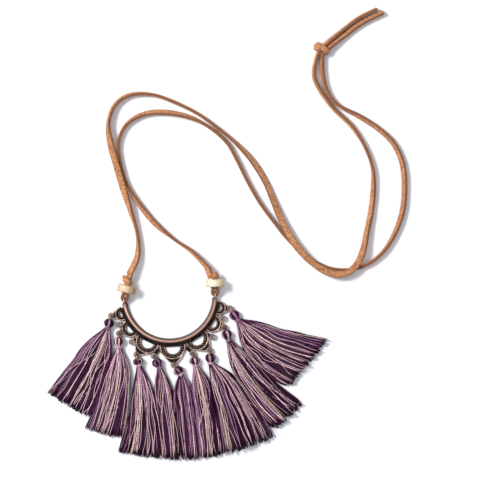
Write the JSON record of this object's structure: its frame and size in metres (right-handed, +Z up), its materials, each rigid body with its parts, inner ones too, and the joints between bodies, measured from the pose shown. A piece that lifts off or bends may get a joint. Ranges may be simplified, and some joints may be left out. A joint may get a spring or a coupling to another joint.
{
  "type": "fringe necklace with a crescent pendant and a tied lace",
  "caption": "Necklace lying face up: a pierced cast crescent with thread tassels on jump rings, disc beads beyond its ends, and flat laces knotted together.",
  "frame": {"origin": "on the table, under the middle of the box round the crescent, tassels, rings and beads (the laces left out)", "axes": "+X along the width of the fringe, to the wearer's left seen face up; +Y from the fringe towards the tied ends of the lace; +Z up, out of the pendant's face"},
  "size_m": [0.1611, 0.2029, 0.0086],
  "materials": {
    "metal": "antique copper plating, bright on the raised parts and nearly black in the recesses",
    "bead": "cream to olive, satin, like bone or resin",
    "lace": "tan suede with a soft nap",
    "threads": "silky thread in plum, lilac and cream"
  },
  "bodies": {
    "root": {"crescent": "metal", "bead_left": "bead", "bead_right": "bead", "bead_knot_left": "lace", "bead_knot_right": "lace", "eye_loop_left": "lace", "eye_loop_right": "lace", "cord_left": "lace", "cord_right": "lace", "tie_knot": "lace", "tail_left": "lace", "tail_right": "lace", "jump_ring_1": "metal", "jump_ring_2": "metal", "jump_ring_3": "metal", "jump_ring_4": "metal", "jump_ring_5": "metal", "jump_ring_6": "metal", "jump_ring_7": "metal", "jump_ring_8": "metal", "jump_ring_9": "metal", "tassel_1": "threads", "tassel_2": "threads", "tassel_3": "threads", "tassel_4": "threads", "tassel_5": "threads", "tassel_6": "threads", "tassel_7": "threads", "tassel_8": "threads", "tassel_9": "threads"}
  },
  "joints": []
}
